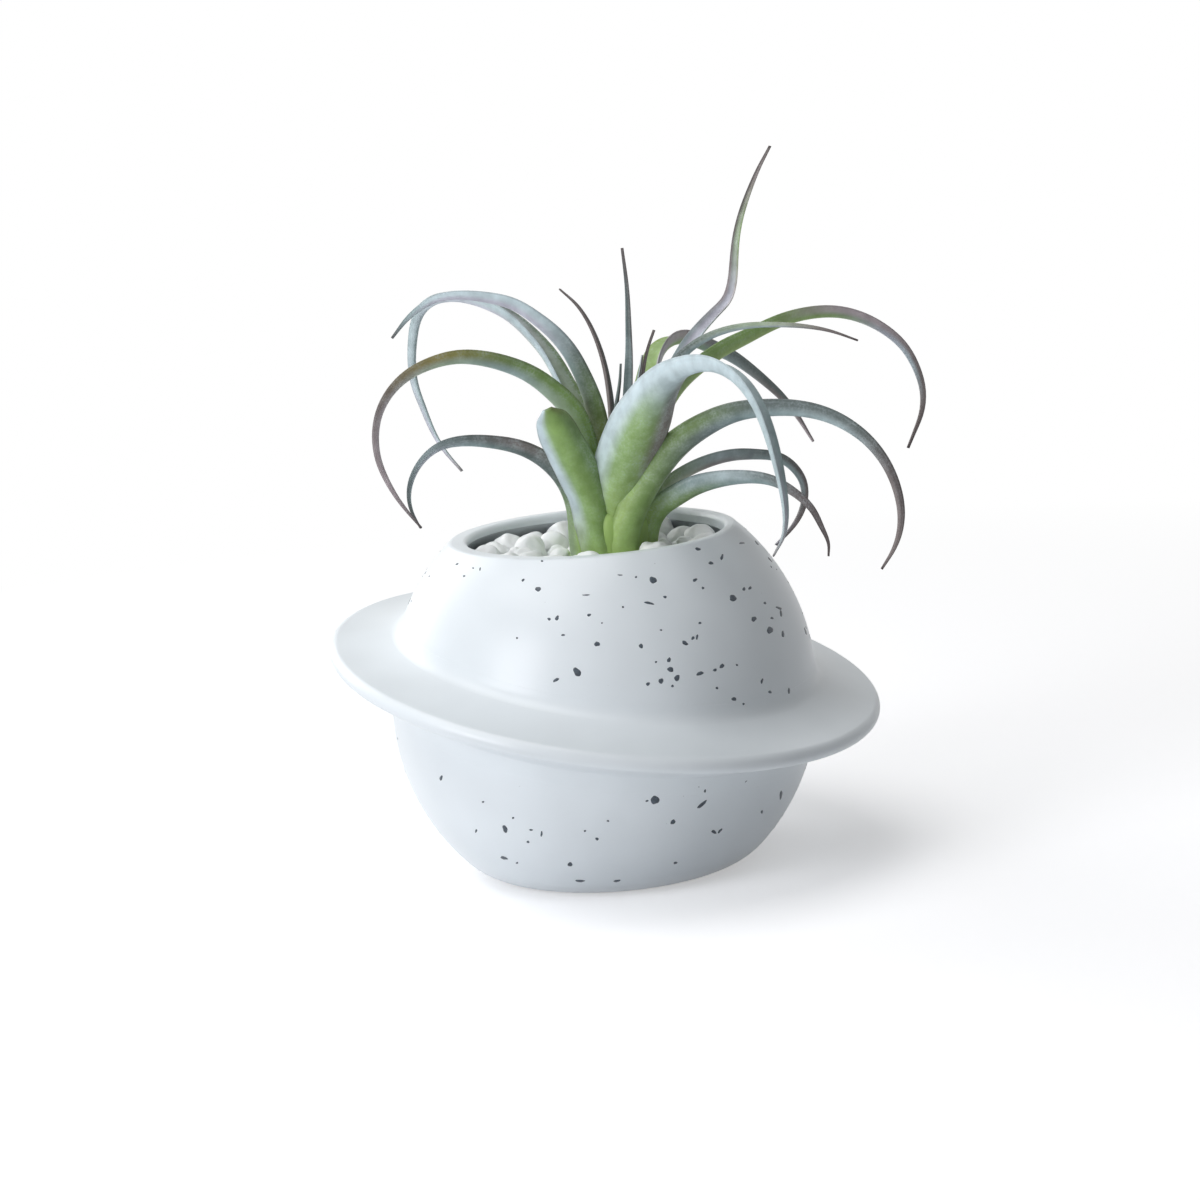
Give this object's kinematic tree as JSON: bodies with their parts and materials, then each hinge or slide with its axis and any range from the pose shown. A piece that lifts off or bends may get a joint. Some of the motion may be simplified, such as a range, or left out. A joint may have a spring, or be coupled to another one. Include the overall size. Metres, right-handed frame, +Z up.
{
  "type": "air plant holder",
  "caption": "Ball-shaped ceramic pot with a tilted ring around it, filled with foam and white stones, holding a leafy artificial air plant on a lift-out pick.",
  "frame": {"origin": "middle of the flat foot's underside, where the pot stands", "axes": "+Z up; +X to the right and -Y to the front, as the pot is seen with the ring's low side to the right and to the front"},
  "size_m": [0.1518, 0.1404, 0.1686],
  "materials": {
    "speckled_glaze": "satin white glaze with slate speckles on fired clay",
    "plain_glaze": "satin white glaze on fired clay",
    "foam": "dry floral foam",
    "stones": "tumbled white stones",
    "green_plastic": "moulded green plastic",
    "leaf": "moulded leaves, green at the base, frosted blue-grey above, with brown tips"
  },
  "bodies": {
    "pot": {"pot_body": "speckled_glaze", "tilted_ring": "plain_glaze", "foam_plug": "foam", "pebbles": "stones"},
    "stem": {"stem_pick": "green_plastic"},
    "rosette": {"crown": "green_plastic", "leaf_left_low": "leaf", "leaf_left_blunt": "leaf", "leaf_left_middle": "leaf", "leaf_left_high": "leaf", "leaf_left_rear": "leaf", "leaf_centre_curled": "leaf", "leaf_centre_tall": "leaf", "leaf_centre_brown": "leaf", "leaf_centre_short": "leaf", "leaf_centre_pale": "leaf", "leaf_right_tall": "leaf", "leaf_right_rear": "leaf", "leaf_right_high": "leaf", "leaf_right_thin": "leaf", "leaf_front_broad": "leaf", "leaf_right_front": "leaf", "leaf_right_middle": "leaf", "leaf_right_low": "leaf", "leaf_rear_right": "leaf", "leaf_rear_left": "leaf"}
  },
  "joints": [
    {"name": "plant_lift", "type": "slide", "parent": "pot", "child": "stem", "axis": [0, 0, 1], "range_m": [0, 0.06]},
    {"name": "rosette_turn", "type": "hinge", "parent": "stem", "child": "rosette", "pos_m": [0.005, 0, 0.0736], "axis": [0, 0, 1], "continuous": true}
  ]
}
